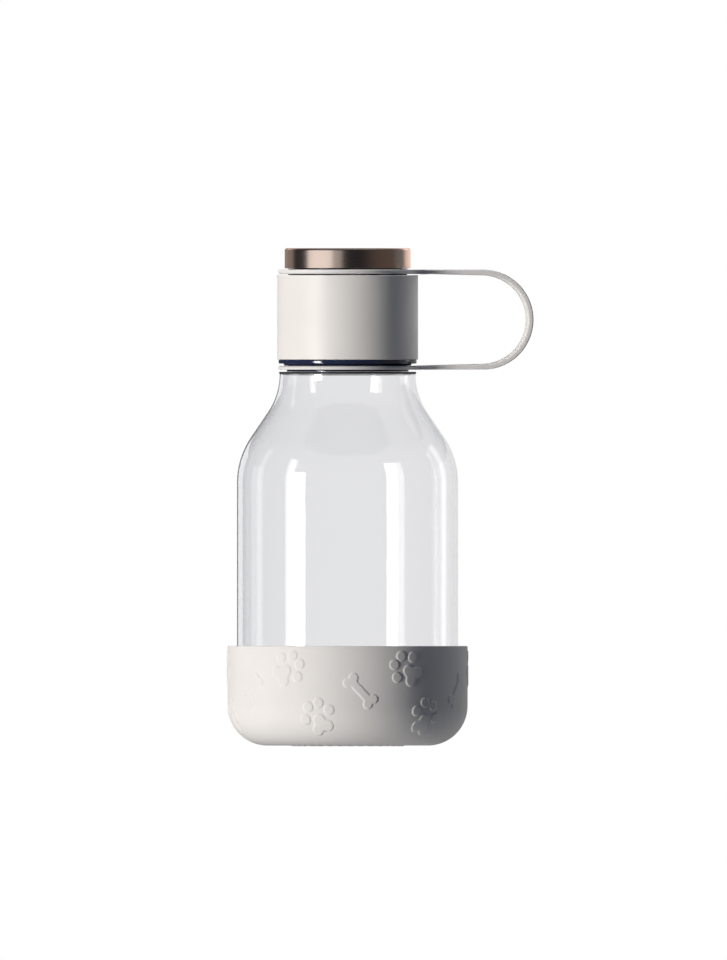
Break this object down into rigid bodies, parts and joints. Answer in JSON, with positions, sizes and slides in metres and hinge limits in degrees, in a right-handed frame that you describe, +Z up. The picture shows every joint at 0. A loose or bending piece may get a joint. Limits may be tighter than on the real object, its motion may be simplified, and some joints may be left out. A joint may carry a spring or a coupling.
{
  "type": "dog travel water bottle",
  "caption": "Clear screw-top travel bottle standing in its own pull-off drinking bowl, with a wide lid, a strap loop round the lid and a small metal screw cap.",
  "frame": {"origin": "on the bottle's axis, in the plane that the base pad stands on", "axes": "+Z up along the bottle's axis, +X towards the strap's loop, -Y towards the viewer"},
  "size_m": [0.1355, 0.1068, 0.22],
  "materials": {
    "white_plastic": "warm white, fine satin texture",
    "pale_rubber": "pale grey, matt",
    "clear_plastic": "clear, glossy",
    "clear_rubber": "milky, smooth",
    "dark_rubber": "dark grey, matt",
    "navy_plastic": "navy, glossy",
    "white_rubber": "warm white silicone, satin",
    "bronze_steel": "brushed warm bronze"
  },
  "bodies": {
    "bowl": {"dog_bowl": "white_plastic", "base_pad": "pale_rubber"},
    "bottle": {"bottle_body": "clear_plastic", "grip_rings": "clear_rubber", "neck_gasket": "dark_rubber"},
    "mouth_seal": {"mouth_gasket": "dark_rubber"},
    "lid": {"lid_core": "navy_plastic", "collar_sleeve": "white_plastic"},
    "strap": {"carry_strap": "white_rubber"},
    "cap_seal": {"cap_gasket": "dark_rubber"},
    "cap": {"cap_insert": "navy_plastic", "metal_cap": "bronze_steel"}
  },
  "joints": [
    {"name": "bottle_lift", "type": "slide", "parent": "bowl", "child": "bottle", "axis": [0, 0, 1], "range_m": [0, 0.055]},
    {"name": "lid_rise", "type": "slide", "parent": "bottle", "child": "mouth_seal", "axis": [0, 0, 1], "range_m": [0, 0.0271]},
    {"name": "lid_turn", "type": "hinge", "parent": "mouth_seal", "child": "lid", "pos_m": [0, 0, 0.18], "axis": [0, 0, 1], "range_deg": [0, 810]},
    {"name": "strap_swivel", "type": "hinge", "parent": "lid", "child": "strap", "pos_m": [0, 0, 0.188], "axis": [0, 0, 1], "continuous": true},
    {"name": "cap_rise", "type": "slide", "parent": "lid", "child": "cap_seal", "axis": [0, 0, 1], "range_m": [0, 0.0121]},
    {"name": "cap_turn", "type": "hinge", "parent": "cap_seal", "child": "cap", "pos_m": [0, 0, 0.214], "axis": [0, 0, 1], "range_deg": [0, 720]}
  ],
  "couplings": [
    {"joint": "lid_rise", "follows": "lid_turn", "m_per_rad": 0.0019099},
    {"joint": "cap_rise", "follows": "cap_turn", "m_per_rad": 0.00095493}
  ]
}
